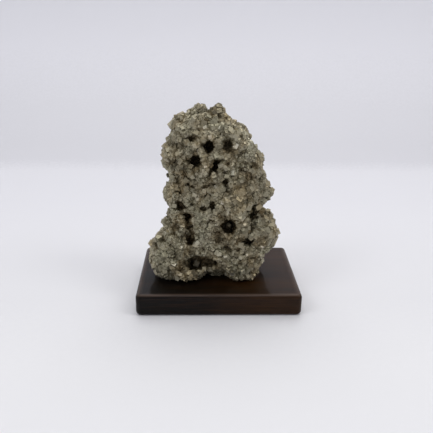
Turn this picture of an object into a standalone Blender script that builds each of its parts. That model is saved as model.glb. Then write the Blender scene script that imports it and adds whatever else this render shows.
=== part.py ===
"""Pyrite cluster standing on a lacquered wooden display board.

The row frame has +Z up, +X to the viewer's right and -Y towards the viewer.
The origin is the centre of the board's underside. Run it with
    blender --background --python part.py
"""

import math
import random

import bmesh
import bpy
from mathutils import Matrix, Quaternion, Vector

MM = 0.001

# Driving dimensions of the board.
BOARD_WIDTH = 100.0 * MM
BOARD_DEPTH = 75.0 * MM
BOARD_THICKNESS = 13.5 * MM
BOARD_EDGE_RADIUS = 2.4 * MM
BOARD_EDGE_SEGMENTS = 4

# The cluster is held on dabs of putty. Touching solids keep a small gap between them.
TOUCH_GAP = 0.3 * MM
PAD_THICKNESS = 1.0 * MM
PAD_SEGMENTS = 20
PAD_EDGE_RADIUS = 0.35 * MM
PAD_EDGE_SEGMENTS = 2
PAD_TOP = BOARD_THICKNESS + TOUCH_GAP + PAD_THICKNESS

# Crystal blocks that stand out of every mass, in millimetres. A block's centre lies
# under the surface by the sunk share of its size, and its place round the mass is off
# the even pattern by up to the wander, in radians. A mass with a mean radius under the
# full radius has its blocks shrunk in proportion.
BLOCK_SEED = 11
BLOCK_WANDER = 0.3
BLOCK_FULL_RADIUS = 9.0
BLOCKS = {
    "coarse": {"spacing": 10.5, "smallest": 7.0, "largest": 11.0, "sunk": 0.48},
    "fine": {"spacing": 5.2, "smallest": 3.4, "largest": 6.4, "sunk": 0.40},
}

# Resolution of the cluster's surface.
LOBE_SUBDIVISIONS = 4
FUSE_VOXEL = 1.2 * MM
CLUSTER_TRIANGLE_SHARE = 0.11

# Overlapping masses that the cluster grew from, in millimetres:
# name: (centre x, y, z), (radius x, y, z). Z counts from the board's underside.
LOBES = {
    "core": ((-2, 4, 62), (28, 20, 44)),
    "crown": ((-9, 3, 99), (20, 18, 18)),
    "crown_knob_left": ((-11.8, 3, 115), (4.7, 6.6, 6.4)),
    "crown_knob_right": ((-1.4, 3, 114.8), (4.7, 6.6, 6.4)),
    "crown_step_left": ((-21, 2, 107), (8, 10, 7)),
    "crown_right": ((0.6, 3, 103.6), (10, 13, 9)),
    "shoulder_right": ((9, 3, 98), (10, 15, 10.5)),
    "side_right_upper": ((16.2, 2, 85), (11, 14, 12)),
    "side_right_middle": ((17, 1, 74), (12, 14, 12)),
    "bump_right": ((23, 1, 66.5), (9.5, 12, 7.5)),
    "side_left_upper": ((-22.4, 3, 89.2), (11.5, 16, 14)),
    "side_left_middle": ((-20.6, 2, 66), (12.5, 15, 13)),
    "side_left_lower": ((-18.8, 0, 52), (11, 14, 12)),
    "chest_front": ((-4, -5, 83), (21, 13, 15)),
    "belly_front": ((5, -8, 62), (20, 12, 22)),
    "ridge_front": ((-9, -10, 47), (9, 11, 22)),
    "cheek_front": ((13, -8, 42), (12, 12, 14)),
    "lobe_right": ((26.7, -3, 41), (10, 14, 14)),
    "lobe_left": ((-29.3, -8, 28.8), (13.5, 15, 17)),
    "foot_left": ((-19, -11, 22), (13, 10.5, 9)),
    "foot_middle": ((-2, -8, 29), (14, 12, 11)),
    "foot_right": ((14, -8, 27), (14, 14, 13)),
    "foot_right_toe": ((15, -13, 21.5), (10, 8, 8.5)),
    "back_middle": ((0, 14, 52), (27, 13, 34)),
    "back_upper": ((-4, 12, 88), (20, 12, 20)),
    "back_left": ((-20, 11, 36), (16, 13, 18)),
    "back_right": ((18, 12, 34), (15, 12, 18)),
    "foot_back": ((0, 12, 25), (24, 13, 12)),
}

# Open pockets between the crystal masses, in the same form.
POCKETS = {
    "crown_pocket_middle": ((-6.6, -17, 98.5), (3.6, 8, 3.8)),
    "crown_pocket_left": ((-14.4, -17, 90.5), (3.2, 8, 4.0)),
    "crown_pocket_right": ((4.4, -16, 99.5), (2.6, 6, 4.2)),
    "crown_pocket_low": ((-2.6, -19, 87), (2.6, 8, 3.6)),
    "brow_slot": ((-19.4, -14, 103), (5.5, 4, 1.6)),
    "waist_pit": ((4.0, -20, 76.5), (2.0, 5, 2.4)),
    "belly_pocket": ((5.4, -21, 50.5), (4.8, 9, 5.4)),
    "pit_middle_left": ((-9.8, -20, 62.0), (2.6, 5, 1.9)),
    "pit_middle_right": ((-3.6, -20, 64.0), (2.0, 5, 1.9)),
    "cheek_pit": ((18.2, -19, 40), (3.4, 6, 2.8)),
    "foot_cave": ((-11.0, -20, 26.0), (10.5, 8, 4.2)),
    "foot_arch": ((-1.0, -20, 16.5), (5.5, 12, 4.0)),
    "lobe_left_pit": ((-28.8, -20, 44.5), (2.4, 5, 2.2)),
    "crown_notch": ((-6.6, 3, 120.5), (1.7, 12, 3.4)),
    "notch_left": ((-35, 0, 72.9), (3, 9, 1.5)),
    "notch_right": ((33, 0, 59), (4, 12, 1.3)),
    "back_pocket_upper": ((4, 25, 84), (4.4, 8, 4.2)),
    "back_pocket_left": ((-13, 26, 58), (4.0, 8, 5.4)),
    "back_pocket_right": ((14, 26, 47), (3.6, 7, 4.4)),
}

# Clefts between two masses, in millimetres: name: (points along it), (radius x, y, z).
# A cleft is a row of ellipsoids. They wander off its line and their widths vary.
CLEFTS = {
    "cleft_left": (
        ((-25, -14, 63), (-22, -15, 58), (-18.6, -17, 51), (-17.4, -18, 45), (-18, -18, 39)),
        (1.7, 8, 2.2),
    ),
    "cleft_right": (((21.4, -13, 61), (20.6, -14, 56), (19.4, -17, 46)), (2.0, 8, 2.4)),
    "cleft_back": (((-4, 28, 44), (-2, 28, 37), (2, 28, 30)), (1.8, 7, 2.4)),
    "cleft_back_upper": (((16, 20, 74), (10, 23, 69), (6, 26, 62)), (2.4, 6, 1.8)),
}
CLEFT_SEED = 4
CLEFT_STEPS = 3
CLEFT_WANDER = 0.7
CLEFT_WIDTHS = (0.6, 1.5)

# Where the feet reach the board, in millimetres: name: (x, y), radius.
PADS = {
    "putty_pad_left": ((-20, -12), 4.6),
    "putty_pad_right": ((14, -10), 5.2),
    "putty_pad_back": ((0, 13), 6.0),
}


def clear_scene():
    for old in list(bpy.data.objects):
        bpy.data.objects.remove(old, do_unlink=True)


def new_collection(name):
    made = bpy.data.collections.new(name)
    bpy.context.scene.collection.children.link(made)
    return made


def principled(name, colour, roughness, metallic=0.0, coat=0.0):
    made = bpy.data.materials.new(name)
    made.use_nodes = True
    shader = made.node_tree.nodes["Principled BSDF"]
    shader.inputs["Base Color"].default_value = (*colour, 1.0)
    shader.inputs["Roughness"].default_value = roughness
    shader.inputs["Metallic"].default_value = metallic
    shader.inputs["Coat Weight"].default_value = coat
    return made


def object_from_bmesh(name, shape, collection):
    mesh = bpy.data.meshes.new(name)
    shape.to_mesh(mesh)
    shape.free()
    made = bpy.data.objects.new(name, mesh)
    collection.objects.link(made)
    return made


def add_ellipsoids(shape, table):
    """Closed ellipsoids, from a table of centres and radii in mm."""
    for centre, radii in table.values():
        place = Matrix.LocRotScale(Vector(centre) * MM, None, Vector(radii) * MM)
        bmesh.ops.create_icosphere(
            shape, subdivisions=LOBE_SUBDIVISIONS, radius=1.0, matrix=place
        )


def along(points, steps):
    """Points set evenly along a chain of straight runs."""
    points = [Vector(point) for point in points]
    found = [
        start.lerp(end, step / steps)
        for start, end in zip(points, points[1:])
        for step in range(steps)
    ]
    return found + points[-1:]


def cleft_table():
    """The clefts as rows of ellipsoids of uneven width that overlap."""
    dice = random.Random(CLEFT_SEED)
    table = {}
    for name, (points, radii) in CLEFTS.items():
        for index, point in enumerate(along(points, CLEFT_STEPS)):
            wander = Vector((dice.uniform(-1, 1), 0, dice.uniform(-1, 1))) * CLEFT_WANDER
            width = dice.uniform(*CLEFT_WIDTHS)
            table[f"{name}_{index}"] = (point + wander, Vector(radii) * width)
    return table


def random_turn(dice):
    """A rotation with no preferred direction."""
    turn = Quaternion([dice.gauss(0, 1) for _ in range(4)])
    return turn.normalized()


def ways_out(count, dice):
    """Directions spread over a sphere by the golden angle, each a little off its place."""
    golden = math.pi * (3 - math.sqrt(5))
    for index in range(count):
        height = 1 - (2 * index + 1) / count
        angle = golden * index + dice.uniform(-BLOCK_WANDER, BLOCK_WANDER)
        ring = math.sqrt(1 - height**2)
        yield Vector((ring * math.cos(angle), ring * math.sin(angle), height))


def add_blocks(shape, table, kind, dice):
    """Cubes partly sunk in every ellipsoid of a table, smaller ones in a small ellipsoid."""
    for centre, radii in table.values():
        mean = (radii[0] * radii[1] * radii[2]) ** (1 / 3)
        share = min(1, mean / BLOCK_FULL_RADIUS)
        count = round(4 * math.pi * (mean / kind["spacing"]) ** 2)
        for way in ways_out(count, dice):
            size = dice.uniform(kind["smallest"], kind["largest"]) * share
            skin = Vector(centre) + Vector(radii) * way - way * size * kind["sunk"]
            place = Matrix.LocRotScale(skin * MM, random_turn(dice), None)
            bmesh.ops.create_cube(shape, size=size * MM, matrix=place)


def box(name, low, high, collection):
    """A closed box between two corners."""
    low, high = Vector(low), Vector(high)
    shape = bmesh.new()
    place = Matrix.LocRotScale((low + high) / 2, None, high - low)
    bmesh.ops.create_cube(shape, size=1.0, matrix=place)
    return object_from_bmesh(name, shape, collection)


def as_cutter(cutter):
    cutter.hide_render = True
    cutter.display_type = "WIRE"
    return cutter


def remesh(target, name, voxel):
    modifier = target.modifiers.new(name, "REMESH")
    modifier.mode = "VOXEL"
    modifier.voxel_size = voxel
    modifier.adaptivity = 0.0


def cut(target, name, cutter):
    modifier = target.modifiers.new(name, "BOOLEAN")
    modifier.operation = "DIFFERENCE"
    modifier.object = cutter


def make_cluster(parts, cutters):
    """The cluster: lobes and blocks fused into one body, pocketed, and flat at its feet."""
    grown = bmesh.new()
    add_ellipsoids(grown, LOBES)
    dice = random.Random(BLOCK_SEED)
    for kind in BLOCKS.values():
        add_blocks(grown, LOBES, kind, dice)
    cluster = object_from_bmesh("pyrite_cluster", grown, parts)
    remesh(cluster, "fuse_masses", FUSE_VOXEL)

    holes = bmesh.new()
    add_ellipsoids(holes, POCKETS)
    add_ellipsoids(holes, cleft_table())
    pockets = as_cutter(object_from_bmesh("pocket_cutter", holes, cutters))
    remesh(pockets, "fuse_pockets", FUSE_VOXEL)
    cut(cluster, "open_pockets", pockets)
    remesh(cluster, "clean", FUSE_VOXEL)

    thin = cluster.modifiers.new("thin_out", "DECIMATE")
    thin.ratio = CLUSTER_TRIANGLE_SHARE

    reach = Vector((BOARD_WIDTH, BOARD_DEPTH, 0))
    below = as_cutter(
        box(
            "foot_cutter",
            -reach - Vector((0, 0, BOARD_THICKNESS)),
            reach + Vector((0, 0, PAD_TOP + TOUCH_GAP)),
            cutters,
        )
    )
    cut(cluster, "flatten_feet", below)
    cluster.data.materials.append(
        principled("pyrite", (0.30, 0.27, 0.19), roughness=0.35, metallic=1.0)
    )
    return cluster


def make_board(parts):
    """The board: one slab of dark lacquered wood with all its edges eased."""
    board = box(
        "display_board",
        (-BOARD_WIDTH / 2, -BOARD_DEPTH / 2, 0),
        (BOARD_WIDTH / 2, BOARD_DEPTH / 2, BOARD_THICKNESS),
        parts,
    )
    edges = board.modifiers.new("eased_edges", "BEVEL")
    edges.width = BOARD_EDGE_RADIUS
    edges.segments = BOARD_EDGE_SEGMENTS
    board.data.materials.append(
        principled("lacquered_wood", (0.035, 0.018, 0.010), roughness=0.3, coat=1.0)
    )
    return board


def make_pad(name, place, radius, material, parts):
    """A dab of putty, pressed flat between a foot and the board."""
    shape = bmesh.new()
    centre = Vector((place[0] * MM, place[1] * MM, PAD_TOP - PAD_THICKNESS / 2))
    bmesh.ops.create_cone(
        shape,
        cap_ends=True,
        segments=PAD_SEGMENTS,
        radius1=radius * MM,
        radius2=radius * MM,
        depth=PAD_THICKNESS,
        matrix=Matrix.Translation(centre),
    )
    pad = object_from_bmesh(name, shape, parts)
    edge = pad.modifiers.new("squeezed_edge", "BEVEL")
    edge.width = PAD_EDGE_RADIUS
    edge.segments = PAD_EDGE_SEGMENTS
    edge.limit_method = "ANGLE"
    pad.data.materials.append(material)
    return pad


def main():
    clear_scene()
    parts = new_collection("pyrite_specimen")
    cutters = new_collection("cutters")
    make_board(parts)
    make_cluster(parts, cutters)
    putty = principled("putty", (0.62, 0.60, 0.54), roughness=0.7)
    for name, (place, radius) in PADS.items():
        make_pad(name, place, radius, putty, parts)


main()
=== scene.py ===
# Pyrite specimen on its display board: the looks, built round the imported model.
# Lengths are in metres unless a name says otherwise. +Z is up and -Y faces the viewer.
import itertools
import math

import bmesh
import bpy
import numpy as np
from mathutils import Matrix, Vector


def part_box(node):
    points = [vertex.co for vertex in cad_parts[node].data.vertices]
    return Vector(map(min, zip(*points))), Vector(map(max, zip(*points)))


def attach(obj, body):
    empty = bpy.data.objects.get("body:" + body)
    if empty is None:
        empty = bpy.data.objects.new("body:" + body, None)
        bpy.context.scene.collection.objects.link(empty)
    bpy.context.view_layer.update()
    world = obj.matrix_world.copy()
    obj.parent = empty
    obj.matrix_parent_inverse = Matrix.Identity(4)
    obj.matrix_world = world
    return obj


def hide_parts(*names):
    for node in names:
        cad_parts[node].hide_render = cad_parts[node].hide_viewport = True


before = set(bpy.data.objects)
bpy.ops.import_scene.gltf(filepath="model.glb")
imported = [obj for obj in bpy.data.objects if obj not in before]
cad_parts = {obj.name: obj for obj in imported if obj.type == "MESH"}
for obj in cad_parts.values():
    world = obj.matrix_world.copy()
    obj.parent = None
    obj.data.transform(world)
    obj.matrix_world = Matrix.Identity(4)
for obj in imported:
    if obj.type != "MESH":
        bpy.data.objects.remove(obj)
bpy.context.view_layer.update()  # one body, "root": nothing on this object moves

mm = 0.001
body = "root"
boardLow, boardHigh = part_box("display_board")
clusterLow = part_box("pyrite_cluster")[0]
viewPoint = Vector((-11.5, -317.5, 164.2)) * mm   # the camera's place
frontPlane = -22 * mm     # details of the front are placed where the viewer sees them on this plane
weldGap = 1e-6            # points nearer than this to each other are one
shortestEdge = 1e-7
print("frame loaded:", ", ".join(sorted(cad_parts)))


# Meshes from whole arrays.

def newPiece(name, mesh, material):
    # an object at the origin, unturned: its place is in its mesh
    piece = bpy.data.objects.new(name, mesh)
    bpy.context.scene.collection.objects.link(piece)
    mesh.materials.append(material)
    return piece


def settle(piece, node):
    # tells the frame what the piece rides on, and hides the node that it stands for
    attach(piece, body)
    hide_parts(node)


def meshFromSides(name, corners, sideCorners, sideSizes):
    # sideCorners runs through all the sides' corner numbers, sideSizes says how many each side has
    mesh = bpy.data.meshes.new(name)
    mesh.vertices.add(len(corners))
    mesh.vertices.foreach_set("co", corners.astype(np.float32).ravel())
    mesh.loops.add(len(sideCorners))
    mesh.loops.foreach_set("vertex_index", sideCorners.astype(np.int32))
    mesh.polygons.add(len(sideSizes))
    starts = np.concatenate(([0], np.cumsum(sideSizes)[:-1]))
    mesh.polygons.foreach_set("loop_start", starts.astype(np.int32))
    mesh.update(calc_edges=True)
    mesh.validate()
    return mesh


def meshFromGrid(name, grid):
    # grid[row, column] holds points, and each row closes on itself; neighbours four by four make
    # the sides. Poles and seams are merged afterwards and the sides turned outwards.
    rows, columns = grid.shape[:2]
    numbers = np.arange(rows * columns).reshape(rows, columns)
    numbers = np.concatenate((numbers, numbers[:, :1]), axis=1)
    a, b = numbers[:-1, :-1], numbers[:-1, 1:]
    c, d = numbers[1:, 1:], numbers[1:, :-1]
    sides = np.stack((a, b, c, d), axis=-1).reshape(-1, 4)
    mesh = meshFromSides(name, grid.reshape(-1, 3), sides.ravel(), np.full(len(sides), 4))
    shape = bmesh.new()
    shape.from_mesh(mesh)
    bmesh.ops.remove_doubles(shape, verts=shape.verts, dist=weldGap)
    bmesh.ops.dissolve_degenerate(shape, edges=shape.edges, dist=shortestEdge)
    bmesh.ops.recalc_face_normals(shape, faces=shape.faces)
    shape.to_mesh(mesh)
    shape.free()
    mesh.shade_smooth()
    return mesh


def pointValues(mesh, name, values):
    # a number, or a vector, kept at every corner for the material to read
    kind, field = ("FLOAT", "value") if values.ndim == 1 else ("FLOAT_VECTOR", "vector")
    mesh.attributes.new(name, kind, "POINT").data.foreach_set(
        field, values.astype(np.float32).ravel()
    )


scatter = {"way": (12.9898, 78.233, 37.719), "seedStep": 9.137, "tall": 43758.5453}


def cornerValue(cells, seed):
    # repeatable random number from -1 to 1 for a corner of a cubic lattice: what stands behind the
    # point in a very tall sine wave
    wave = np.sin(cells @ np.array(scatter["way"]) + seed * scatter["seedStep"]) * scatter["tall"]
    return 2 * (wave - np.floor(wave)) - 1


def latticeNoise(points, cell, seed):
    # random values at lattice corners, blended inside each cell by 3s^2 - 2s^3 along every axis
    scaled = points / cell
    base = np.floor(scaled)
    share = scaled - base
    share = share * share * (3 - 2 * share)
    total = np.zeros(len(points))
    for corner in np.ndindex(2, 2, 2):
        step = np.array(corner)
        total += np.prod(np.where(step, share, 1 - share), axis=1) * cornerValue(base + step, seed)
    return total


def wandering(points, look):
    # mean + reach * lattice noise
    return look["mean"] + look["reach"] * latticeNoise(points, look["cell"], look["seed"])


def smoothStep(values, low, high):
    # 0 up to low, 1 from high on, and 3s^2 - 2s^3 of the share s of the way between them
    share = np.clip((values - low) / (high - low), 0, 1)
    return share * share * (3 - 2 * share)


# Node helpers for the finishes. From pointValue on, each gives back an output socket.

noiseRoughness = 0.55


def newFinish(name):
    finish = bpy.data.materials.new(name)
    finish.use_nodes = True
    tree = finish.node_tree
    return finish, tree, tree.nodes["Principled BSDF"]


def addNode(tree, kind, **settings):
    node = tree.nodes.new(kind)
    for field, value in settings.items():
        setattr(node, field, value)
    return node


def pointValue(tree, name):
    return addNode(tree, "ShaderNodeAttribute", attribute_name=name).outputs["Fac"]


def objectPlace(tree):
    return addNode(tree, "ShaderNodeTexCoord").outputs["Object"]


def along(tree, source, axis):
    # one of a place's three coordinates
    apart = addNode(tree, "ShaderNodeSeparateXYZ")
    tree.links.new(source, apart.inputs[0])
    return apart.outputs[axis]


def stretched(tree, source, scale):
    # a place times the scale, axis by axis
    mapping = addNode(tree, "ShaderNodeMapping")
    mapping.inputs["Scale"].default_value = scale
    tree.links.new(source, mapping.inputs["Vector"])
    return mapping.outputs["Vector"]


def noise(tree, source, scale, detail):
    node = addNode(tree, "ShaderNodeTexNoise")
    node.inputs["Scale"].default_value = scale
    node.inputs["Detail"].default_value = detail
    node.inputs["Roughness"].default_value = noiseRoughness
    tree.links.new(source, node.inputs["Vector"])
    return node.outputs["Fac"]


def maths(tree, operation, first, second, third=None):
    # each of the values is a number or a socket
    node = addNode(tree, "ShaderNodeMath", operation=operation)
    for index, value in enumerate((first, second, third)):
        if value is None:
            continue
        if isinstance(value, (int, float)):
            node.inputs[index].default_value = value
        else:
            tree.links.new(value, node.inputs[index])
    return node.outputs[0]


def between(tree, source, low, high):
    # low + source * (high - low)
    return maths(tree, "MULTIPLY_ADD", source, high - low, low)


def ramp(tree, source, stops):
    # stops are pairs of a place from 0 to 1 and a colour
    node = addNode(tree, "ShaderNodeValToRGB")
    band = node.color_ramp
    while len(band.elements) < len(stops):
        band.elements.new(0.5)
    for element, (place, colour) in zip(band.elements, stops):
        element.position = place
        element.color = (*colour, 1.0)
    tree.links.new(source, node.inputs["Fac"])
    return node.outputs["Color"]


def blend(tree, share, first, second, how="MIX"):
    # share is a number or a socket, the colours are three numbers or a socket
    node = addNode(tree, "ShaderNodeMix", data_type="RGBA", blend_type=how)
    for socket, value in ((node.inputs[0], share), (node.inputs[6], first), (node.inputs[7], second)):
        if isinstance(value, tuple):
            socket.default_value = (*value, 1.0)
        elif isinstance(value, (int, float)):
            socket.default_value = value
        else:
            tree.links.new(value, socket)
    return node.outputs[2]


def bump(tree, height, strength, distance, under=None):
    # relief, on top of the relief under it if there is one
    node = addNode(tree, "ShaderNodeBump")
    node.inputs["Strength"].default_value = strength
    node.inputs["Distance"].default_value = distance
    tree.links.new(height, node.inputs["Height"])
    if under is not None:
        tree.links.new(under, node.inputs["Normal"])
    return node.outputs["Normal"]


# Pyrite finish.

pyriteLook = {
    "metal": (               # from the darkest crystals through dull and brassy to the palest
        (0.05, (0.14, 0.123, 0.086)),
        (0.36, (0.28, 0.252, 0.178)),
        (0.68, (0.43, 0.395, 0.29)),
        (0.98, (0.58, 0.545, 0.445)),
    ),
    "cast": (                # the metal's colour times this: fresher and greyer, or tarnished brown
        (0.36, (0.97, 1.00, 1.00)),
        (0.50, (1.0, 1.0, 1.0)),
        (0.64, (1.05, 0.98, 0.88)),
    ),
    "grimeAndShade": (               # how hollow a place is, and what its grime and painted shade leave of the colour
        (0.00, (1.0, 1.0, 1.0)),
        (0.45, (0.66, 0.60, 0.51)),
        (0.80, (0.44, 0.39, 0.31)),
        (1.00, (0.34, 0.30, 0.24)),
    ),
    "castScale": 75,         # patches per metre
    "tarnishScale": 55,
    "tarnishShare": 0.5,     # how far the tarnish moves the shade
    "grainScale": 1100,      # fine mottling on the faces
    "grainShare": 0.24,
    "grainBump": (0.5, 0.12 * mm),
    "metallic": 0.92,
    "roughness": (0.38, 0.62),
    "hollowRougher": 0.3,
    "linesScale": 1400,      # growth lines on a crystal's faces
    "linesBend": 1.5,
    "linesBump": (0.25, 0.05 * mm),
}


def pyriteFinish(name, look, tintShift):
    # shade = tint + tintShift + tarnish and grain, each counted from half its share;
    # colour = metal at that shade * cast * what the grime and the painted shade of hollows leave
    finish, tree, shader = newFinish(name)
    place = objectPlace(tree)
    tint, hollow = pointValue(tree, "tint"), pointValue(tree, "hollow")
    tarnish = noise(tree, place, look["tarnishScale"], 4.0)
    grain = noise(tree, place, look["grainScale"], 2.0)
    tarnishShare, grainShare = look["tarnishShare"], look["grainShare"]
    shade = maths(tree, "MULTIPLY_ADD", tarnish, tarnishShare, tintShift - tarnishShare / 2)
    shade = maths(tree, "ADD", shade, tint)
    shade = maths(tree, "SUBTRACT", shade, grainShare / 2)
    shade = maths(tree, "MULTIPLY_ADD", grain, grainShare, shade)
    metal = ramp(tree, shade, look["metal"])
    cast = ramp(tree, noise(tree, place, look["castScale"], 3.0), look["cast"])
    metal = blend(tree, 1.0, metal, cast, "MULTIPLY")
    # painted shade: hollow, pitted, creased and pocketed places darkened, together with their grime
    grimedAndShaded = blend(tree, 1.0, metal, ramp(tree, hollow, look["grimeAndShade"]), "MULTIPLY")
    tree.links.new(grimedAndShaded, shader.inputs["Base Color"])
    rough = between(tree, grain, *look["roughness"])
    rough = maths(tree, "MULTIPLY_ADD", hollow, look["hollowRougher"], rough)
    tree.links.new(rough, shader.inputs["Roughness"])
    shader.inputs["Metallic"].default_value = look["metallic"]
    ownPlace = addNode(tree, "ShaderNodeAttribute", attribute_name="crystalPlace").outputs["Vector"]
    lines = addNode(tree, "ShaderNodeTexWave", wave_type="BANDS", bands_direction="DIAGONAL")
    lines.inputs["Scale"].default_value = look["linesScale"]
    lines.inputs["Distortion"].default_value = look["linesBend"]
    tree.links.new(ownPlace, lines.inputs["Vector"])
    relief = bump(tree, lines.outputs["Fac"], *look["linesBump"])
    relief = bump(tree, grain, *look["grainBump"], relief)
    tree.links.new(relief, shader.inputs["Normal"])
    return finish


# The cluster's skin: the fused masses under the crystals.

skinLook = {
    "voxel": 0.8 * mm,        # size of the skin's faces
    "inset": 1.0 * mm,        # room left for the crystals that stand out of the skin
    "lumps": (                # cell of the noise, height, seed
        (8.0 * mm, 0.8 * mm, 1),
        (3.0 * mm, 0.4 * mm, 2),
        (1.6 * mm, 0.25 * mm, 3),
    ),
    "hollows": {
        "rounds": 45,         # smoothing rounds that tell hollows from bulges
        "full": 1.3 * mm,     # depth under the smoothed skin that counts as fully hollow
        "from": 0.15,         # share of that depth where a hollow begins
        "deepen": 1.1,        # hollows go in by this share of their depth
        # painted shade, with some grime, at the full depth of a hollow
        "dark": 0.62,
    },
    # in the pits below, dark is painted shade with some grime
    "pits": {"cell": 3.3 * mm, "seed": 7, "from": 0.42, "full": 0.72, "depth": 1.1 * mm, "dark": 0.4},
    "creases": {
        "cell": 4.8 * mm,
        "seed": 13,
        "width": 0.16,        # noise value at a crease's edge
        "depth": 1.1 * mm,
        # painted shade in the creases
        "dark": 0.25,
        "swell": 1.4 * mm,    # how far the knobs between the creases rise with the noise
        "level": 0.25,        # noise value where they neither rise nor sink
    },
    "footFade": (0.3 * mm, 4 * mm),   # heights over the lowest point between which relief sets in
    "floorGap": 0.25 * mm,    # least gap kept over the board
    "shade": -0.12,           # the skin is darker than the crystals by this much
    "tint": {"mean": 0.30, "reach": 0.15, "cell": 2.2 * mm, "seed": 11},
}

# balls of rock joined to the cluster's masses where it is fuller: centre, half sizes, in mm
fuller = (
    ((-1.5, -6.0, 19.0), (8.0, 7.5, 6.5)),      # under the arch between the feet
    ((-18.0, -8.0, 45.0), (2.5, 5.5, 10.0)),    # behind the left cleft
    ((20.3, -8.5, 48.5), (2.8, 6.0, 6.5)),      # behind the lower end of the right cleft
    ((-17.0, 2.0, 115.5), (3.2, 3.5, 2.8)),
    ((-27.0, 2.0, 104.0), (3.5, 4.0, 3.5)),
    ((-29.5, 2.0, 76.0), (3.2, 4.0, 3.2)),
)

pocketLook = {
    "back": 6 * mm,           # pockets only open in what lies in front of this
    "facing": (-0.35, 0.15),  # how squarely the skin faces the viewer where they begin and are full
    "edge": 1.15,             # squared distance from the middle, in radii, where a pocket ends
    "slope": 0.9,             # how much less than that it is where the flat bottom begins
    "rim": {"cell": 2.2 * mm, "reach": 1.5 * mm, "seeds": (71, 72)},
}

# pockets and dimples in the front, in mm: x, z, radius across, radius up, depth; then how dark, painted
# shade with some grime
pockets = (
    (-7.0, 99.5, 4.4, 4.6, 4.2, 1.0), (-15.0, 91.0, 4.4, 4.0, 3.8, 0.95),
    (4.0, 100.5, 2.9, 4.8, 3.5, 0.75), (-2.0, 91.0, 2.9, 2.7, 4.0, 0.95),
    (-0.5, 92.5, 2.0, 1.8, 3.0, 0.85), (-4.5, 87.5, 2.7, 3.0, 4.2, 1.0),
    (-6.0, 84.0, 2.4, 2.7, 4.0, 0.9), (-7.0, 82.0, 1.9, 2.0, 3.0, 0.8),
    (5.0, 90.5, 2.2, 1.9, 1.8, 0.6), (3.5, 79.0, 2.6, 2.5, 2.8, 0.9),
    (-20.5, 104.5, 4.2, 2.3, 2.2, 0.7), (-15.5, 104.5, 3.6, 2.2, 2.2, 0.7),
    (-27.5, 90.5, 2.7, 2.5, 2.0, 0.6), (-21.0, 84.0, 2.6, 2.3, 1.8, 0.62),
    (-17.5, 76.0, 3.1, 2.1, 2.2, 0.7), (-24.0, 73.5, 2.5, 2.3, 2.2, 0.7),
    (12.5, 86.5, 2.1, 2.0, 1.4, 0.5), (19.5, 89.0, 2.7, 2.9, 1.8, 0.58),
    (-8.5, 76.0, 2.2, 1.9, 1.4, 0.55), (5.0, 72.5, 2.2, 1.9, 1.6, 0.6),
    (-23.0, 114.0, 2.6, 1.8, 1.6, 0.6), (-27.5, 100.5, 2.2, 1.7, 1.2, 0.5),
    (-5.5, 117.5, 1.9, 2.5, 1.5, 0.6), (-8.0, 114.5, 2.0, 2.2, 1.5, 0.6),
    (-12.5, 109.0, 2.0, 1.9, 1.4, 0.5), (-10.5, 62.5, 3.5, 2.2, 2.6, 0.8),
    (-4.0, 64.0, 2.9, 2.1, 2.6, 0.8), (1.0, 64.5, 1.7, 1.5, 1.4, 0.6),
    (-5.0, 55.5, 2.7, 1.9, 2.0, 0.72), (5.5, 52.0, 5.5, 6.2, 4.5, 0.95),
    (20.5, 60.0, 4.4, 3.5, 3.0, 0.9), (19.0, 53.0, 1.4, 2.7, 1.4, 0.5),
    (16.5, 42.0, 3.8, 2.4, 2.6, 0.85), (12.0, 40.5, 3.0, 1.8, 1.4, 0.5),
    (5.5, 37.0, 2.2, 1.8, 1.4, 0.55), (12.0, 36.5, 2.1, 1.9, 1.6, 0.55),
    (-11.0, 36.5, 1.8, 1.6, 1.2, 0.5), (22.5, 31.0, 2.6, 1.8, 1.6, 0.6),
    (-14.5, 27.5, 4.9, 4.3, 3.2, 0.88), (-5.5, 28.5, 4.2, 2.9, 2.0, 0.55),
    (-8.0, 24.5, 3.8, 2.4, 2.2, 0.8), (-24.0, 23.0, 2.5, 2.2, 2.0, 0.7),
    (12.0, 24.5, 2.1, 1.6, 1.4, 0.55), (-24.5, 64.0, 2.2, 2.6, 2.4, 0.85),
    (-22.7, 61.0, 2.0, 2.6, 2.6, 0.9), (-20.8, 57.5, 1.9, 2.8, 2.8, 0.9),
    (-19.2, 54.0, 1.6, 2.8, 2.8, 0.95), (-17.9, 49.5, 1.6, 3.0, 2.8, 0.85),
    (-17.8, 45.0, 1.6, 2.8, 2.6, 0.8), (-18.4, 41.0, 1.6, 2.6, 2.4, 0.8),
    (-26.5, 56.5, 1.6, 2.6, 1.6, 0.65), (-28.0, 51.5, 1.6, 2.4, 1.6, 0.6),
    (-27.5, 47.0, 2.5, 2.3, 2.0, 0.75), (-34.5, 44.5, 2.1, 1.9, 1.4, 0.5),
)


def seenOnFront(points):
    # where the line from the camera to a point crosses the front plane, and that line's way:
    # viewPoint + (point - viewPoint) * (frontPlane - viewPoint.y) / (point.y - viewPoint.y)
    eye = np.array(viewPoint)
    lines = points - eye
    crossing = eye + lines * ((frontPlane - eye[1]) / lines[:, 1])[:, None]
    return crossing, lines / np.linalg.norm(lines, axis=1)[:, None]


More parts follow.
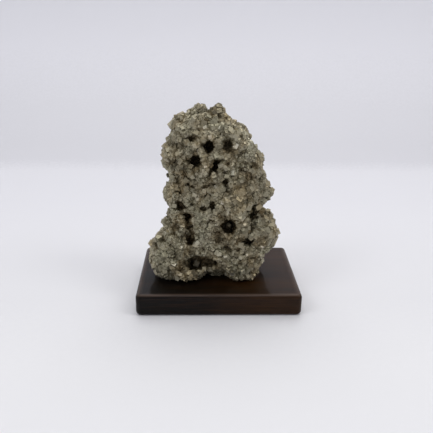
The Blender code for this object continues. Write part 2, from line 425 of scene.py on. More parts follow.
def pocketed(points, ways, look):
    # how far the pockets push each point away from the viewer: flat-bottomed bowls over ellipses
    # whose rims wander with the noise, and how dark the point is painted inside one (painted shade with
    # some grime), from 0 to 1
    depth, inside = np.zeros(len(points)), np.zeros(len(points))
    seen, lines = seenOnFront(points)
    facing = -np.sum(ways * lines, axis=1)
    front = smoothStep(facing, *look["facing"]) * (points[:, 1] < look["back"])
    rim = look["rim"]
    x, z = (
        (seen[:, axis] + rim["reach"] * latticeNoise(points, rim["cell"], seed)) / mm
        for axis, seed in zip((0, 2), rim["seeds"])
    )
    for middleX, middleZ, across, up, deep, dark in pockets:
        away = ((x - middleX) / across) ** 2 + ((z - middleZ) / up) ** 2
        bowl = smoothStep(look["edge"] - away, 0, look["slope"]) * front
        depth = np.maximum(depth, bowl * deep * mm)
        inside = np.maximum(inside, bowl * dark)
    return lines * depth[:, None], inside


def mergedCopy(node, name):
    # the node's loose triangles welded into one closed skin, with the fuller places joined on
    shape = bmesh.new()
    shape.from_mesh(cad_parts[node].data)
    bmesh.ops.remove_doubles(shape, verts=shape.verts, dist=weldGap)
    for centre, halfSizes in fuller:
        place = Matrix.Translation(Vector(centre) * mm) @ Matrix.Diagonal((*Vector(halfSizes) * mm, 1))
        bmesh.ops.create_icosphere(shape, subdivisions=3, radius=1, matrix=place)
    mesh = bpy.data.meshes.new(name)
    shape.to_mesh(mesh)
    shape.free()
    return mesh


def evenSkin(node, voxel):
    # the welded node rebuilt with faces of one size
    rough = bpy.data.objects.new("roughSkin", mergedCopy(node, "roughSkin"))
    bpy.context.scene.collection.objects.link(rough)
    even = rough.modifiers.new("even", "REMESH")
    even.mode = "VOXEL"
    even.voxel_size = voxel
    graph = bpy.context.evaluated_depsgraph_get()
    mesh = bpy.data.meshes.new_from_object(rough.evaluated_get(graph))
    bpy.data.objects.remove(rough)
    return mesh


def readPoints(mesh, field):
    # the field's three numbers at every corner of the mesh
    values = np.zeros(len(mesh.vertices) * 3, np.float32)
    mesh.vertices.foreach_get(field, values)
    return values.reshape(-1, 3).astype(float)


def smoothed(points, mesh, rounds):
    # every point moves halfway to the mean of its neighbours, again and again
    ends = np.zeros(len(mesh.edges) * 2, np.int32)
    mesh.edges.foreach_get("vertices", ends)
    first, second = ends.reshape(-1, 2).T
    count = len(points)
    degree = np.bincount(first, minlength=count) + np.bincount(second, minlength=count)
    points = points.copy()
    for _ in range(rounds):
        for axis in range(3):
            around = np.bincount(first, points[second, axis], count)
            around += np.bincount(second, points[first, axis], count)
            points[:, axis] = 0.5 * points[:, axis] + 0.5 * around / degree
    return points


def makeSkin(look):
    # skin = even skin + normal * (lumps of lattice noise + knobs that swell between creases,
    # which run where another noise is zero - hollows made deeper - pits - inset), and the pockets
    # pushed in from the viewer's side
    mesh = evenSkin("pyrite_cluster", look["voxel"])
    points, ways = readPoints(mesh, "co"), readPoints(mesh, "normal")
    hollows, pits, creases = look["hollows"], look["pits"], look["creases"]
    sunkBy = np.sum((smoothed(points, mesh, hollows["rounds"]) - points) * ways, axis=1)
    hollow = smoothStep(sunkBy, hollows["from"] * hollows["full"], hollows["full"])
    pitted = smoothStep(latticeNoise(points, pits["cell"], pits["seed"]), pits["from"], pits["full"])
    knob = np.abs(latticeNoise(points, creases["cell"], creases["seed"]))
    crease = smoothStep(creases["width"] - knob, 0, creases["width"])
    push = sum(latticeNoise(points, cell, seed) * height for cell, height, seed in look["lumps"])
    push += creases["swell"] * (knob - creases["level"]) - creases["depth"] * crease
    push -= np.clip(sunkBy, 0, None) * hollows["deepen"] + pitted * pits["depth"] + look["inset"]
    fadeFrom, fadeTo = look["footFade"]
    foot = smoothStep(points[:, 2], clusterLow.z + fadeFrom, clusterLow.z + fadeTo)
    taken, pocket = pocketed(points, ways, pocketLook)
    points += ways * (push * foot)[:, None]
    points += taken
    points[:, 2] = np.maximum(points[:, 2], boardHigh.z + look["floorGap"])
    mesh.vertices.foreach_set("co", points.astype(np.float32).ravel())
    mesh.update()
    # how dark each place is painted in its hollows, pits, creases and pockets: painted shade with some
    # grime, kept as hollow for the finish
    dark = (hollow * hollows["dark"], pitted * pits["dark"], crease * creases["dark"], pocket)
    pointValues(mesh, "hollow", np.maximum.reduce(dark))
    pointValues(mesh, "tint", wandering(points, look["tint"]))
    pointValues(mesh, "crystalPlace", points)
    return mesh


skinFinish = pyriteFinish("pyriteGroundmass", pyriteLook, skinLook["shade"])
skin = newPiece("pyriteSkin", makeSkin(skinLook), skinFinish)
settle(skin, "pyrite_cluster")
print("skin:", len(skin.data.polygons), "faces")


# Crystals.

crystalLook = {
    "seed": 22,
    "thrown": 5,              # random points for every gap by gap of skin, before they are thinned
    "kinds": {  # sizes and gaps in mm; a crystal's centre lies sunk times its size under the skin
        "large": {
            "gap": 6.0,
            "size": (3.0, 4.0),
            "keep": 0.42,
            "sunk": (0.20, 0.42),
            "hollowMost": 0.10,
            "forms": (0.2, 0.4, 0.4),   # shares of cubes, twelve-sided forms and cut cubes
        },
        "middle": {
            "gap": 2.2,
            "size": (1.8, 3.4),
            "keep": 0.92,
            "sunk": (0.10, 0.40),
            "hollowMost": 0.60,
            "forms": (0.4, 0.4, 0.2),
        },
        "small": {
            "gap": 1.3,
            "size": (0.9, 1.8),
            "keep": 1.0,
            "sunk": (0.05, 0.35),
            "hollowMost": 2.0,
            "forms": (0.8, 0.0, 0.2),
        },
    },
    "sole": (-0.9, 1 * mm),   # none where the skin faces down so far, so near the lowest point
    "sizeLean": 1.6,          # over 1, more crystals are near the least size
    "sizeWander": {"mean": 1, "reach": 0.18, "cell": 9 * mm, "seed": 51},
    "stretch": (0.8, 1.2),
    "patch": {"cell": 7.0 * mm, "blur": 0.4, "seed": 31, "turnSeed": 40},
    "patchTilt": 0.35,        # how far the crystals in a patch turn away from each other
    "looseShare": 0.45,       # share of crystals that lie any way round
    "hollowSinks": 0.12,      # more of a crystal is sunk where the skin is hollow
    "hollowGrows": 1.1,       # and its painted shade and grime are this much stronger than the skin's there
    "fineSpots": (            # finer-grained areas: centre, radius, in mm
        ((-9, -22, 44), 13),
        ((16, -8, 96), 13),
        ((4, -20, 40), 8),
    ),
    "fineClears": 1.6,        # chance that a large crystal is left out in the middle of one
    "fineShrinks": 0.4,       # share taken off the sizes there
    "fineTint": 0.10,         # and how much paler the crystals are
    "shade": 0.0,
    "tint": {"mean": 0.46, "reach": 0.17, "cell": 4.5 * mm, "seed": 61},
    "tintSpread": 0.08,
    "floorGap": 0.12 * mm,
    "liftMost": 0.8 * mm,     # crystals that would be lifted further off the board are left out
}


flatAngle = 0.03   # sides that turn less than this from each other are one flat side


def crystalForm(corners):
    # the closed form that the corners span, one unit across at its widest
    shape = bmesh.new()
    for corner in corners:
        shape.verts.new(corner)
    bmesh.ops.convex_hull(shape, input=shape.verts)
    bmesh.ops.dissolve_limit(shape, angle_limit=flatAngle, verts=shape.verts, edges=shape.edges)
    bmesh.ops.recalc_face_normals(shape, faces=shape.faces)
    shape.verts.index_update()
    points = np.array([vert.co[:] for vert in shape.verts])
    sides = [[vert.index for vert in side.verts] for side in shape.faces]
    shape.free()
    sideSizes = np.array([len(side) for side in sides])
    return points / np.ptp(points, axis=0).max(), np.concatenate(sides), sideSizes


def signed(corner):
    # the corner in all eight octants
    return [tuple(np.multiply(corner, signs)) for signs in itertools.product((-1, 1), repeat=3)]


def turned(corner):
    # the corner with its three numbers moved round
    x, y, z = corner
    return [(x, y, z), (y, z, x), (z, x, y)]


cubeCorners = signed((1, 1, 1))
twelveSided = cubeCorners + [p for c in turned((0, 1.5, 0.75)) for p in signed(c)]
cutCube = [p for c in turned((1, 1, 0.72)) for p in signed(c)]
forms = [crystalForm(sorted(set(corners))) for corners in (cubeCorners, twelveSided, cutCube)]


cubeKey = np.array([1, 100003, 100003 * 997])   # makes one whole number of a cube's three


def pickPlaces(points, ways, hollow, triangles, gap, thrown, dice):
    # many random points on the skin's triangles, then only one kept in every cube of side gap
    a, b, c = (points[triangles[:, k]] for k in range(3))
    areas = np.linalg.norm(np.cross(b - a, c - a), axis=1) / 2
    count = int(areas.sum() / gap**2 * thrown)
    chosen = dice.choice(len(triangles), count, p=areas / areas.sum())
    u, v = dice.random(count), dice.random(count)
    over = u + v > 1
    u[over], v[over] = 1 - u[over], 1 - v[over]
    shares = np.stack((1 - u - v, u, v), axis=1)
    corners = triangles[chosen]
    places, way, deep = (
        np.einsum("nk,nk...->n...", shares, values[corners]) for values in (points, ways, hollow)
    )
    cubes = np.floor(places / gap).astype(np.int64) @ cubeKey
    kept = np.sort(np.unique(cubes, return_index=True)[1])
    return places[kept], way[kept] / np.linalg.norm(way[kept], axis=1)[:, None], deep[kept]


def turnsOf(quats):
    # rotation matrices from quaternions w, x, y, z of any length
    w, x, y, z = (quats / np.linalg.norm(quats, axis=1)[:, None]).T
    rows = (
        (1 - 2 * (y * y + z * z), 2 * (x * y - w * z), 2 * (x * z + w * y)),
        (2 * (x * y + w * z), 1 - 2 * (x * x + z * z), 2 * (y * z - w * x)),
        (2 * (x * z - w * y), 2 * (y * z + w * x), 1 - 2 * (x * x + y * y)),
    )
    return np.moveaxis(np.array(rows), 2, 0)


def crystalTurns(places, look, dice):
    # parallel inside a patch, give or take a tilt, and some lie any way round; patches are cells of
    # a lattice with wandering borders
    patch = look["patch"]
    wander = latticeNoise(places, patch["cell"], patch["seed"])[:, None] * patch["blur"]
    cells = np.floor(places / patch["cell"] + wander)
    shared = np.stack([cornerValue(cells, patch["turnSeed"] + k) for k in range(4)], axis=1)
    shared /= np.linalg.norm(shared, axis=1)[:, None]
    loose = dice.normal(size=(len(places), 4))
    loose /= np.linalg.norm(loose, axis=1)[:, None]
    free = (dice.random(len(places)) < look["looseShare"])[:, None]
    return turnsOf(np.where(free, loose, shared + loose * look["patchTilt"]))


def fineness(places, spots):
    # 1 in the middle of a finer-grained area, falling off as a bell curve
    bells = [
        np.exp(-np.sum((places - np.array(centre) * mm) ** 2, axis=1) / (radius * mm) ** 2)
        for centre, radius in spots
    ]
    return np.max(bells, axis=0)


def crystalsOf(kindName, surface, look, dice):
    # centre = place - way out of the skin * size * share sunk;
    # size = (least + range * die^sizeLean) * less in the fine spots * lattice noise round 1
    kind = look["kinds"][kindName]
    places, ways, hollow = pickPlaces(*surface, kind["gap"] * mm, look["thrown"], dice)
    fine = fineness(places, look["fineSpots"])
    stays = (hollow <= kind["hollowMost"]) & (dice.random(len(places)) < kind["keep"])
    soleFacing, soleHeight = look["sole"]
    stays &= ~((ways[:, 2] < soleFacing) & (places[:, 2] < clusterLow.z + soleHeight))
    if kindName == "large":
        stays &= dice.random(len(places)) > look["fineClears"] * fine
    places, ways, hollow, fine = places[stays], ways[stays], hollow[stays], fine[stays]
    count = len(places)
    smallest, largest = kind["size"]
    sizes = smallest + (largest - smallest) * dice.random(count) ** look["sizeLean"]
    sizes *= mm * (1 - look["fineShrinks"] * fine) * wandering(places, look["sizeWander"])
    sunk = dice.uniform(*kind["sunk"], count) + look["hollowSinks"] * hollow
    turns = crystalTurns(places, look, dice)
    stretch = dice.uniform(*look["stretch"], (count, 3))
    tint = wandering(places, look["tint"]) + dice.normal(0, look["tintSpread"], count)
    return {
        "centre": places - ways * (sizes * sunk)[:, None],
        "scale": sizes[:, None] * stretch,
        "turn": turns,
        "tint": tint + look["fineTint"] * fine,
        "hollow": np.clip(hollow * look["hollowGrows"], 0, 1),
        "form": dice.choice(len(forms), count, p=kind["forms"]),
    }


def clearOfBoard(crystals, floorHeight, liftMost):
    # lifts what would reach under the floor height, and leaves out what would be lifted further;
    # a crystal reaches down by half the sum of |turn| * scale along z
    reach = np.abs(crystals["turn"][:, 2, :] * crystals["scale"]).sum(axis=1) / 2
    lift = np.clip(floorHeight - (crystals["centre"][:, 2] - reach), 0, None)
    crystals["centre"][:, 2] += lift
    return {key: values[lift < liftMost] for key, values in crystals.items()}


def crystalMesh(name, crystals):
    # corner = centre + turn @ (scale * form corner), for every crystal of a form at once
    corners, ownPlaces, tints, hollows, loops, sizes = [], [], [], [], [], []
    made = 0
    for index, (points, sideCorners, sideSizes) in enumerate(forms):
        mine = crystals["form"] == index
        count, each = int(mine.sum()), len(points)
        if not count:
            continue
        own = points[None] * crystals["scale"][mine][:, None]
        world = np.einsum("nij,npj->npi", crystals["turn"][mine], own)
        corners.append((world + crystals["centre"][mine][:, None]).reshape(-1, 3))
        ownPlaces.append(own.reshape(-1, 3))
        tints.append(np.repeat(crystals["tint"][mine], each))
        hollows.append(np.repeat(crystals["hollow"][mine], each))
        first = made + np.arange(count)[:, None] * each
        loops.append((sideCorners[None] + first).ravel())
        sizes.append(np.tile(sideSizes, count))
        made += count * each
    mesh = meshFromSides(name, np.concatenate(corners), np.concatenate(loops), np.concatenate(sizes))
    mesh.shade_flat()
    pointValues(mesh, "tint", np.concatenate(tints))
    pointValues(mesh, "hollow", np.concatenate(hollows))
    pointValues(mesh, "crystalPlace", np.concatenate(ownPlaces))
    return mesh


# single crystals that catch the light, and at the end some that stand in the deep pockets, in mm:
# x, z, size, how far out of the skin; then tint
# the high tints make the glinting crystals paler, a painted highlight on top of the real glint from
# their turn; the low tints of the last ones, in the deep pockets, are painted shade
accents = (
    (-8.5, 89.0, 2.6, 0.3, 1.1), (-23.0, 77.0, 2.2, 0.3, 1.15), (-9.5, 84.5, 2.4, 0.3, 0.95),
    (-6.0, 106.0, 2.4, 0.3, 0.95), (-12.5, 97.5, 2.2, 0.3, 0.85), (0.0, 97.0, 2.2, 0.3, 0.85),
    (8.5, 100.5, 3.0, 0.2, 0.95), (6.5, 84.5, 3.0, 0.2, 0.9), (-2.5, 76.5, 2.6, 0.3, 0.85),
    (-1.0, 110.5, 2.6, 0.2, 0.9), (-9.0, 110.5, 2.4, 0.2, 0.85), (-12.0, 111.5, 2.4, 0.2, 0.85),
    (26.0, 38.5, 2.2, 0.4, 1.15), (20.0, 24.5, 2.2, 0.3, 0.9), (8.5, 21.0, 3.0, 0.4, 1.15),
    (-27.5, 26.5, 2.2, 0.3, 0.95), (15.0, 53.0, 2.2, 0.3, 0.85), (17.0, 33.0, 2.0, 0.3, 0.85),
    (-15.0, 39.0, 2.2, 0.3, 0.9), (-22.5, 38.0, 2.4, 0.3, 0.95), (4.0, 32.0, 2.2, 0.3, 0.85),
    (-9.5, 21.5, 2.4, 0.3, 0.7), (-24.0, 19.5, 2.6, 0.4, 0.85), (1.5, 66.5, 2.2, 0.3, 0.85),
    (-2.5, 95.0, 3.4, 0.4, 0.6), (-11.0, 94.5, 2.8, 0.3, 0.6), (-10.5, 104.0, 2.8, 0.3, 0.6),
    (-14.5, 28.0, 4.0, 0.2, -0.1), (-14.0, 27.5, 3.2, 1.8, 0.05),
    (5.0, 51.5, 4.2, 0.2, -0.1), (5.5, 52.0, 3.6, 2.0, 0.0), (6.0, 52.5, 2.4, 3.4, 0.3),
)
accentLook = {
    "seed": 5,
    "catching": (0.0, -0.74, 0.67),   # way that the brightest side of each one faces
    "tilt": 0.24,
    "sunk": 0.2,
    "stretch": (0.7, 1.15),
    "forms": (0.5, 0.15, 0.35),
}


def accentCrystals(rows, look, skin):
    # centre = where the viewer's line through the row's place on the front plane meets the skin,
    # sunk along the skin's way out and moved towards the viewer; one side faces the light
    dice = np.random.default_rng(look["seed"])
    bpy.context.view_layer.update()
    centres, turns = [], []
    for x, z, size, out, _ in rows:
        line = (Vector((x * mm, frontPlane, z * mm)) - viewPoint).normalized()
        found, place, way, _ = skin.ray_cast(viewPoint, line)
        if not found:
            raise ValueError(f"the accent crystal at {x}, {z} misses the skin")
        catching = Vector(look["catching"]) + Vector(dice.normal(0, look["tilt"], 3))
        spin = Matrix.Rotation(dice.uniform(0, math.tau), 3, "Z")
        turns.append(np.array(catching.to_track_quat("Z", "Y").to_matrix() @ spin))
        centres.append(place - way * size * look["sunk"] * mm - line * out * mm)
    table = np.array(rows)
    return {
        "centre": np.array(centres),
        "scale": table[:, 2:3] * mm * dice.uniform(*look["stretch"], (len(rows), 3)),
        "turn": np.array(turns),
        "tint": table[:, 4],
        "hollow": np.zeros(len(rows)),
        "form": dice.choice(len(forms), len(rows), p=look["forms"]),
    }


# borders between the crystals' pieces, in mm: how far back, how high, how far to the side
borders = {"back": 8, "backUpper": 62, "crown": 92, "chest": 68, "lobeTop": 50, "lobe": 14, "belly": 42}


def regionOf(centres):
    # the piece that a crystal belongs to: the first of these tests that its place passes
    x, y, z = (centres / mm).T
    behind, low = y > borders["back"], z <= borders["lobeTop"]
    tests = (
        ("backUpper", behind & (z > borders["backUpper"])),
        ("backLower", behind),
        ("crown", z > borders["crown"]),
        ("chest", z > borders["chest"]),
        ("lobeLeft", low & (x < -borders["lobe"])),
        ("lobeRight", low & (x > borders["lobe"])),
        ("belly", z > borders["belly"]),
        ("feet", z <= borders["belly"]),
    )
    names = np.array([name for name, _ in tests])
    return names[np.argmax(np.array([test for _, test in tests]), axis=0)]


def growCrystals(look, skin):
    # every kind on the skin's triangles, then the single ones, sorted into pieces by region
    dice = np.random.default_rng(look["seed"])
    mesh = skin.data
    mesh.calc_loop_triangles()
    triangles = np.zeros(len(mesh.loop_triangles) * 3, np.int32)
    mesh.loop_triangles.foreach_get("vertices", triangles)
    hollow = np.zeros(len(mesh.vertices), np.float32)
    mesh.attributes["hollow"].data.foreach_get("value", hollow)
    points, ways = readPoints(mesh, "co"), readPoints(mesh, "normal")
    surface = (points, ways, hollow.astype(float), triangles.reshape(-1, 3))
    grown = [crystalsOf(kindName, surface, look, dice) for kindName in look["kinds"]]
    grown.append(accentCrystals(accents, accentLook, skin))
    grown = {key: np.concatenate([part[key] for part in grown]) for key in grown[0]}
    grown = clearOfBoard(grown, boardHigh.z + look["floorGap"], look["liftMost"])
    finish = pyriteFinish("pyriteCrystal", pyriteLook, look["shade"])
    region = regionOf(grown["centre"])
    for name in sorted(set(region)):
        part = {key: values[region == name] for key, values in grown.items()}
        made = crystalMesh("crystals_" + name, part)
        settle(newPiece("crystals_" + name, made, finish), "pyrite_cluster")
        triangleCount = sum(len(p.vertices) - 2 for p in made.polygons)
        print("crystals", name, len(part["tint"]), "crystals,", triangleCount, "triangles")


growCrystals(crystalLook, skin)


# Board.

boardLook = {
    "edgeRadius": 2.4 * mm,
    "cornerRadius": 3.0 * mm,
    "cornerSteps": 8,
    "edgeSteps": 8,
    "flatRings": (0.0, 0.35, 0.7, 0.92, 0.96),   # rings on the flat faces, as shares of the outline
    "broadScale": (9, 60, 60),       # waves of grain per metre along the plank, across it and up
    "fibreScale": (60, 1500, 1500),
    "fibreShare": 0.4,
    "wood": (
        (0.46, (0.0026, 0.0016, 0.0010)),
        (0.88, (0.035, 0.0130, 0.0016)),
    ),
    "paler": (-0.030, 0.045),        # painted light: the plank gets paler between these distances along it, towards the right where more light falls
    "palerShare": 0.19,
    "wearAndHighlight": (0.100, 0.068, 0.052),   # painted highlight along the top edge, where the lacquer is also thin
    "edgeBandWidth": 3.2 * mm,
    "edgeBandWhole": 0.5,                # share of that width that is painted palest
    "edgeBandDown": 0.55,                # share of the edge radius that it reaches down
    "roughness": (0.4, 0.6),
    "specular": 0.06,
    "grainBump": (0.15, 0.05 * mm),
    "coat": 0.40,
    "coatIor": 1.33,
    "coatRoughness": 0.05,
}


def outline(halfSize, radius, inset, steps):
    # rounded rectangle moved in by inset: a quarter circle round each corner's centre
    angles = np.linspace(0, math.pi / 2, steps + 1)
    rows = []
    for quarter, (signX, signY) in enumerate(((1, 1), (-1, 1), (-1, -1), (1, -1))):
        turn = angles + quarter * math.pi / 2
        centre = np.array([signX * (halfSize[0] - radius), signY * (halfSize[1] - radius)])
        rows.append(centre + (radius - inset) * np.stack((np.cos(turn), np.sin(turn)), axis=1))
    return np.concatenate(rows)


def ringsUp(halfSize, look, insets, heights):
    # the outline once for every inset and the height that goes with it
    count = 4 * (look["cornerSteps"] + 1)
    return [
        np.column_stack((
            outline(halfSize, look["cornerRadius"], inset, look["cornerSteps"]),
            np.full(count, height),
        ))
        for inset, height in zip(insets, heights)
    ]


def slabGrid(low, high, look):
    # the outline carried up the slab: in at the bottom edge, straight, in again at the top
    # edge, and both flat faces closed by rings that shrink to the middle
    edge = look["edgeRadius"]
    half = ((high.x - low.x) / 2, (high.y - low.y) / 2)
    arc = np.linspace(0, math.pi / 2, look["edgeSteps"] + 1)
    insets = np.concatenate((edge * (1 - np.sin(arc)), edge * (1 - np.cos(arc))))
    heights = np.concatenate((low.z + edge * (1 - np.cos(arc)), high.z - edge * (1 - np.sin(arc))))
    rings = ringsUp(half, look, insets, heights)
    under = [rings[0] * (share, share, 1) for share in look["flatRings"]]
    over = [rings[-1] * (share, share, 1) for share in reversed(look["flatRings"])]
    middle = np.array([(low.x + high.x) / 2, (low.y + high.y) / 2, 0])
    return np.array(under + rings + over) + middle


def edgeBandOf(mesh, low, high, look):
    # 1 on the rounded top edge, where the painted highlight and wear go, down to 0 a little way in from
    # it and below it
    points = readPoints(mesh, "co")
    inside = np.minimum(points[:, :2] - low[:2], high[:2] - points[:, :2]).min(axis=1)
    nearEdge = 1 - smoothStep(inside, look["edgeBandWhole"] * look["edgeBandWidth"], look["edgeBandWidth"])
    edgeBandFrom = high.z - look["edgeBandDown"] * look["edgeRadius"]
    return nearEdge * smoothStep(points[:, 2], edgeBandFrom, high.z)


def woodFinish(look):
    # shade = broad grain and fibres by their shares + painted light, paler towards the right; the top
    # edge is blended to a paler colour, a painted highlight with some wear
    finish, tree, shader = newFinish("lacqueredWood")
    place = objectPlace(tree)
    broad = noise(tree, stretched(tree, place, look["broadScale"]), 1.0, 4.0)
    fibres = noise(tree, stretched(tree, place, look["fibreScale"]), 1.0, 3.0)
    paler = addNode(tree, "ShaderNodeMapRange", interpolation_type="SMOOTHSTEP")
    paler.inputs["From Min"].default_value, paler.inputs["From Max"].default_value = look["paler"]
    tree.links.new(along(tree, place, "X"), paler.inputs["Value"])
    shade = maths(tree, "MULTIPLY", broad, 1 - look["fibreShare"])
    shade = maths(tree, "MULTIPLY_ADD", fibres, look["fibreShare"], shade)
    # painted light: the plank paler towards the right
    shade = maths(tree, "MULTIPLY_ADD", paler.outputs[0], look["palerShare"], shade)
    wearAndHighlight = maths(tree, "MULTIPLY", pointValue(tree, "wearAndHighlight"), fibres)
    colour = blend(tree, wearAndHighlight, ramp(tree, shade, look["wood"]), look["wearAndHighlight"])
    tree.links.new(colour, shader.inputs["Base Color"])
    tree.links.new(between(tree, fibres, *look["roughness"]), shader.inputs["Roughness"])
    shader.inputs["Specular IOR Level"].default_value = look["specular"]
    shader.inputs["Coat Weight"].default_value = look["coat"]
    shader.inputs["Coat IOR"].default_value = look["coatIor"]
    shader.inputs["Coat Roughness"].default_value = look["coatRoughness"]
    tree.links.new(bump(tree, fibres, *look["grainBump"]), shader.inputs["Normal"])
    return finish


boardMesh = meshFromGrid("displayBoard", slabGrid(boardLow, boardHigh, boardLook))
pointValues(boardMesh, "wearAndHighlight", edgeBandOf(boardMesh, boardLow, boardHigh, boardLook))
board = newPiece("displayBoard", boardMesh, woodFinish(boardLook))
settle(board, "display_board")
print("board:", len(boardMesh.polygons), "faces")


# Putty pads.

puttyLook = {
    "columns": 40,
    "rows": 14,
    "sidePower": 0.35,       # under 1: fuller than a ball
    "topPower": 0.8,
    "waves": ((3, 1, 0.06), (5, -1, 0.04)),   # how many round the outline, their way round, depth
    "putty": (
        (0.35, (0.20, 0.18, 0.14)),
        (0.60, (0.42, 0.40, 0.34)),
    ),
    "dirtScale": 420,
    "dentScale": 900,
    "dentBump": (0.4, 0.1 * mm),
    "roughness": (0.55, 0.80),
}


def padGrid(low, high, look, seed):
    # squashed ball: width = cos(latitude)^sidePower, less the waves that take the outline off
    # round, and height = sin(latitude)^topPower with its sign kept
    middle, half = (low + high) / 2, (high - low) / 2
    up = np.linspace(-math.pi / 2, math.pi / 2, look["rows"])[:, None]
    around = np.linspace(0, 2 * math.pi, look["columns"], endpoint=False)[None]
    outwards = np.ones_like(around)
    for count, way, depth in look["waves"]:
        outwards = outwards - depth * (1 + np.sin(count * around + way * seed)) / 2
    wide = np.cos(up) ** look["sidePower"]
    x = middle.x + half.x * wide * outwards * np.cos(around)
    y = middle.y + half.y * wide * outwards * np.sin(around)
    z = middle.z + half.z * np.sign(np.sin(up)) * np.abs(np.sin(up)) ** look["topPower"]
    return np.stack(np.broadcast_arrays(x, y, z), axis=-1)


def puttyFinish(look):
    # grimy where the dirt is low, pale where it is high, and dented
    finish, tree, shader = newFinish("putty")
    place = objectPlace(tree)
    dirt = noise(tree, place, look["dirtScale"], 4.0)
    dents = noise(tree, place, look["dentScale"], 3.0)
    tree.links.new(ramp(tree, dirt, look["putty"]), shader.inputs["Base Color"])
    tree.links.new(between(tree, dirt, *look["roughness"]), shader.inputs["Roughness"])
    tree.links.new(bump(tree, dents, *look["dentBump"]), shader.inputs["Normal"])
    return finish


putty = puttyFinish(puttyLook)
for seed, node in enumerate(("putty_pad_left", "putty_pad_right", "putty_pad_back")):
    padMesh = meshFromGrid(node + "_dab", padGrid(*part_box(node), puttyLook, seed))
    settle(newPiece(node + "_dab", padMesh, putty), node)
print("putty pads: 3")


# Floor, light and camera.

stageLook = {
    "halfSize": (0.75, 0.62),     # pale cove: a rounded tray that goes all round, open above
    "middle": (0.0, -0.13),
    "cornerRadius": 0.34,
    "cornerSteps": 12,
    "bendRadius": 0.22,
    "bendSteps": 20,
    "wallTop": 0.42,
    "flatRings": np.linspace(0, 0.9, 10),   # rings on the floor, as shares of its outline
    "fibreScale": 300,
    "fibreShare": 0.03,
    "roughness": 0.6,
    "specular": 0.2,
    "paintedShades": (              # distance behind the object, and the paper's colour there: painted shade round the object, in the bend and on the front wall
        (-0.74, (0.68, 0.68, 0.71)),
        (-0.25, (0.81, 0.81, 0.84)),
        (-0.07, (0.77, 0.77, 0.79)),
        (0.00, (0.725, 0.725, 0.75)),
        (0.20, (0.715, 0.715, 0.75)),
        (0.315, (0.725, 0.725, 0.76)),
        (0.345, (0.65, 0.65, 0.685)),
        (0.38, (0.655, 0.655, 0.69)),
        (0.44, (0.70, 0.70, 0.735)),
        (0.49, (0.775, 0.775, 0.815)),
    ),
    "world": (0.86, 0.87, 0.92),
    "worldStrength": 0.31,
}


def coveGrid(look):
    # outline carried from the middle of the floor outwards, round a quarter bend and up the wall
    turn = np.linspace(0, math.pi / 2, look["bendSteps"])
    insets = np.append(look["bendRadius"] * (1 - np.sin(turn)), 0.0)
    heights = np.append(look["bendRadius"] * (1 - np.cos(turn)), look["wallTop"])
    rings = ringsUp(look["halfSize"], look, insets, heights)
    floorRings = [rings[0] * (share, share, 1) for share in look["flatRings"]]
    return np.array(floorRings + rings) + (*look["middle"], 0.0)


def paperFinish(look):
    # pale paper with a faint fibre, with painted shade and light from front to back
    finish, tree, shader = newFinish("paleCove")
    place = objectPlace(tree)
    nearest, farthest = look["paintedShades"][0][0], look["paintedShades"][-1][0]
    length = farthest - nearest
    behind = maths(tree, "MULTIPLY_ADD", along(tree, place, "Y"), 1 / length, -nearest / length)
    fibre = noise(tree, place, look["fibreScale"], 2.0)
    behind = maths(tree, "MULTIPLY_ADD", fibre, look["fibreShare"], behind)
    stops = [((distance - nearest) / length, colour) for distance, colour in look["paintedShades"]]
    tree.links.new(ramp(tree, behind, stops), shader.inputs["Base Color"])
    shader.inputs["Roughness"].default_value = look["roughness"]
    shader.inputs["Specular IOR Level"].default_value = look["specular"]
    return finish


cove = newPiece("paleCove", meshFromGrid("paleCove", coveGrid(stageLook)), paperFinish(stageLook))


def makeWorld(look):
    # even light from all round
    world = bpy.data.worlds.new("paleRoom")
    world.use_nodes = True
    background = world.node_tree.nodes["Background"]
    background.inputs["Color"].default_value = (*look["world"], 1.0)
    background.inputs["Strength"].default_value = look["worldStrength"]
    bpy.context.scene.world = world


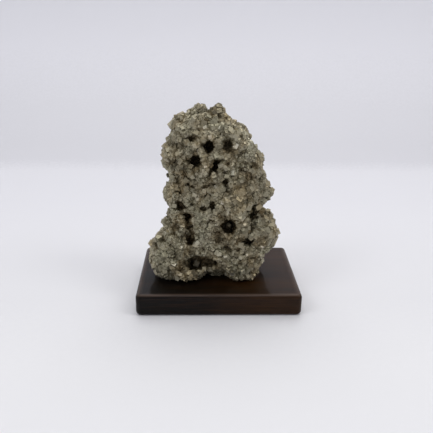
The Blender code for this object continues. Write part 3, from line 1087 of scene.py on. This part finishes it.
softBoxes = {  # place, what it points at, width and height, watts, colour
    "above": ((0.05, 0.02, 0.95), (0, 0, 0.05), (0.8, 0.8), 2.8, (1.0, 0.99, 0.98)),
    "behind": ((-0.02, 0.52, 0.80), (0, 0, 0.03), (1.1, 0.5), 3.4, (1.0, 0.99, 0.98)),
    "left": ((-0.62, -0.35, 0.72), (0, 0, 0.06), (0.3, 0.4), 1.6, (0.98, 0.99, 1.0)),
    "right": ((0.62, -0.25, 0.72), (0, 0, 0.06), (0.3, 0.4), 1.75, (1.0, 0.99, 0.97)),
}


def makeLights(boxes):
    # each one shines from its place at its target
    for name, (place, target, size, watts, colour) in boxes.items():
        data = bpy.data.lights.new(name, "AREA")
        data.shape = "RECTANGLE"
        data.size, data.size_y = size
        data.energy = watts
        data.color = colour
        light = bpy.data.objects.new(name, data)
        light.location = place
        aim = Vector(target) - Vector(place)
        light.rotation_mode = "QUATERNION"
        light.rotation_quaternion = aim.to_track_quat("-Z", "Y")
        bpy.context.scene.collection.objects.link(light)


cameraLook = {
    "down": 19.745,     # degrees under the horizon
    "towardsRight": 1.872,
    "roll": 0.793,
    "lens": 44.06,      # and sensor, in mm
    "sensor": 36.0,
    "clip": (0.01, 20),
}


def makeCamera(look):
    # columns of the turn: right, up and backwards, from the heading, the dip and the roll
    down, side, roll = (math.radians(look[key]) for key in ("down", "towardsRight", "roll"))
    heading = Vector((math.sin(side), math.cos(side), 0))
    level = Vector((math.cos(side), -math.sin(side), 0))
    sky = Vector((0, 0, 1))
    ahead = heading * math.cos(down) - sky * math.sin(down)
    upright = heading * math.sin(down) + sky * math.cos(down)
    right = level * math.cos(roll) + upright * math.sin(roll)
    top = upright * math.cos(roll) - level * math.sin(roll)
    turn = Matrix((right, top, -ahead)).transposed()
    data = bpy.data.cameras.new("studioCamera")
    data.lens, data.sensor_width = look["lens"], look["sensor"]
    data.clip_start, data.clip_end = look["clip"]
    camera = bpy.data.objects.new("studioCamera", data)
    camera.matrix_world = Matrix.Translation(viewPoint) @ turn.to_4x4()
    bpy.context.scene.collection.objects.link(camera)
    bpy.context.scene.camera = camera


makeWorld(stageLook)
makeLights(softBoxes)
makeCamera(cameraLook)
bpy.context.scene.view_settings.view_transform = "Standard"
print("stage, lights and camera set")
